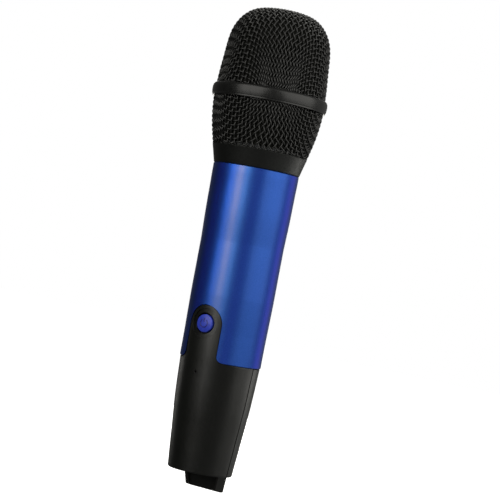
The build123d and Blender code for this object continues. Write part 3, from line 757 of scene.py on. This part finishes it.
def camera():
    obj = bpy.data.objects.new("camera", bpy.data.cameras.new("camera"))
    SCENE.collection.objects.link(obj)
    obj.data.sensor_width = 36.0
    obj.data.lens = 129.6
    obj.data.clip_start, obj.data.clip_end = 0.01, 50.0
    place = RIGHT * CAMERA_SHIFT - FORWARD * CAMERA_DISTANCE + Vector((0, 0, CAMERA_Z))
    aim = RIGHT * CAMERA_SHIFT + Vector((0, 0, AIM_Z))
    look = (aim - place).normalized()
    up = Vector((0, 0, 1)) * math.cos(ROLL) - RIGHT * math.sin(ROLL)
    side = look.cross(up).normalized()
    up = side.cross(look).normalized()
    rotation = Matrix((side, up, -look)).transposed()
    obj.matrix_world = Matrix.Translation(place) @ rotation.to_4x4()
    SCENE.camera = obj


camera()

# ------------------------------------------------------------------ lights
LIGHT_TARGET = Vector((0, 0, 0.12))
WARM = (1.0, 0.985, 0.93)
HANDLE = ["lower_shell", "battery_door", "tail_cover"]
# name, degrees to the camera's right about Z, distance, z, width, height, watts, colour,
# pieces it is kept to (None for all)
LIGHTS = [
    ("panel_left", -39, 0.9, 0.49, 0.96, 1.0, 5.0, WARM, None),
    ("panel_right", 61, 0.9, 0.50, 1.35, 1.0, 5.6, WARM, None),
    ("back_high", 180, 0.7, 1.1, 0.8, 0.5, 5.0, WARM, None),
    ("back_soft", 181, 1.2, 0.25, 0.45, 0.9, 3.0, WARM, None),
    ("strip_left", -38.5, 0.88, 0.54, 0.27, 1.0, 9.6, (1.0, 0.30, 0.04), ["barrel"]),
    ("shoulder_left", -64, 0.88, 0.54, 0.22, 1.0, 1.6, (0.0, 0.50, 0.95), ["barrel"]),
    ("shoulder_right", -20, 0.88, 0.54, 0.12, 1.0, 0.8, (0.0, 1.0, 0.6), ["barrel"]),
    ("tint_front", 8, 0.9, 0.25, 0.50, 1.0, 0.45, (0.35, 0.18, 1.0), ["barrel"]),
    ("tint_side", 120, 0.9, 0.20, 0.45, 1.0, 0.95, (0.46, 0.24, 1.0), ["barrel"]),
    ("tint_left", -100, 0.9, 0.25, 0.45, 1.0, 0.22, (0.30, 0.06, 1.0), ["barrel"]),
    ("panel_low", 112, 0.9, 0.03, 0.70, 0.24, 0.9, WARM,
     ["lower_shell", "battery_door", "head_collar"]),
    ("rim_low", -136, 0.9, -0.02, 0.30, 0.14, 0.13, WARM, ["lower_shell"]),
    ("strip_tongue", -37.5, 0.88, 0.27, 0.12, 0.44, 1.7, WARM, ["lower_shell"]),
    ("fill_low", 68, 0.9, -0.045, 0.55, 0.03, 0.30, WARM, ["lower_shell"]),
    ("panel_right_low", 78, 0.9, 0.50, 1.05, 1.0, 5.2, WARM, HANDLE),
]


def softbox(name, bearing, distance, z, width, height, power, color):
    b = math.radians(bearing)
    place = (-FORWARD * math.cos(b) + RIGHT * math.sin(b)) * distance + Vector((0, 0, z))
    light = bpy.data.lights.new(name, "AREA")
    light.shape = "RECTANGLE"
    light.size, light.size_y = width, height
    light.energy = power
    light.color = color
    obj = bpy.data.objects.new(name, light)
    SCENE.collection.objects.link(obj)
    facing = (place - LIGHT_TARGET).to_track_quat("Z", "Y")
    obj.matrix_world = Matrix.Translation(place) @ facing.to_matrix().to_4x4()
    obj.visible_camera = False
    return obj


def link_light(light, pieces, exclude=False):
    """Keeps a light to the named pieces, or off them."""
    receivers = bpy.data.collections.new(light.name + "_receivers")
    for piece in pieces:
        receivers.objects.link(NODES[piece])
    if exclude:
        for k in range(len(pieces)):
            receivers.collection_objects[k].light_linking.link_state = "EXCLUDE"
    light.light_linking.receiver_collection = receivers


for *settings, pieces in LIGHTS:
    lamp = softbox(*settings)
    if pieces:
        link_light(lamp, pieces)
# the handle gets panel_right_low in place of panel_right
link_light(bpy.data.objects["panel_right"], HANDLE, exclude=True)


# ------------------------------------------------------------------ world and floor
FLOOR_Z = -0.062
FLOOR_HALF = 3.0
FLOOR_GLOW = 0.97


def studio_world():
    """White to the camera; to everything else dim, brighter towards the camera's right."""
    world = bpy.data.worlds.new("studio")
    SCENE.world = world
    world.use_nodes = True
    nodes, link = world.node_tree.nodes, world.node_tree.links.new
    nodes.clear()
    output = nodes.new("ShaderNodeOutputWorld")
    mix = nodes.new("ShaderNodeMixShader")
    path = nodes.new("ShaderNodeLightPath")
    ambient = nodes.new("ShaderNodeBackground")
    ambient.inputs[0].default_value = (1.0, 1.0, 0.96, 1)
    direction = nodes.new("ShaderNodeTexCoord")
    rightness = nodes.new("ShaderNodeVectorMath")
    rightness.operation = "DOT_PRODUCT"
    rightness.inputs[1].default_value = tuple(RIGHT)
    strength = nodes.new("ShaderNodeMapRange")
    for key, value in (("From Min", -1.0), ("From Max", 1.0), ("To Min", 0.03), ("To Max", 0.25)):
        strength.inputs[key].default_value = value
    white = nodes.new("ShaderNodeBackground")
    white.inputs[0].default_value = (1, 1, 1, 1)
    white.inputs[1].default_value = 1.0
    link(direction.outputs["Generated"], rightness.inputs[0])
    link(rightness.outputs["Value"], strength.inputs["Value"])
    link(strength.outputs["Result"], ambient.inputs[1])
    link(path.outputs["Is Camera Ray"], mix.inputs[0])
    link(ambient.outputs[0], mix.inputs[1])
    link(white.outputs[0], mix.inputs[2])
    link(mix.outputs[0], output.inputs[0])


def floor_material():
    """Diffuse white that also glows."""
    material = bpy.data.materials.new("floor_pale")
    material.use_nodes = True
    nodes, link = material.node_tree.nodes, material.node_tree.links.new
    nodes.clear()
    output = nodes.new("ShaderNodeOutputMaterial")
    total = nodes.new("ShaderNodeAddShader")
    glow = nodes.new("ShaderNodeEmission")
    glow.inputs[0].default_value = (1, 1, 1, 1)
    glow.inputs[1].default_value = FLOOR_GLOW
    diffuse = nodes.new("ShaderNodeBsdfDiffuse")
    diffuse.inputs[0].default_value = (0.9, 0.9, 0.9, 1)
    link(glow.outputs[0], total.inputs[0])
    link(diffuse.outputs[0], total.inputs[1])
    link(total.outputs[0], output.inputs[0])
    return material


def studio_floor():
    corners = [(x * FLOOR_HALF, y * FLOOR_HALF, FLOOR_Z)
               for x, y in ((-1, -1), (1, -1), (1, 1), (-1, 1))]
    mesh = bpy.data.meshes.new("floor")
    mesh.from_pydata(corners, [], [(0, 1, 2, 3)])
    floor = bpy.data.objects.new("floor", mesh)
    SCENE.collection.objects.link(floor)
    floor.data.materials.append(floor_material())
    floor.visible_glossy = False
    floor.visible_diffuse = False


studio_world()
SCENE.view_settings.view_transform = "Standard"
SCENE.view_settings.look = "None"
studio_floor()
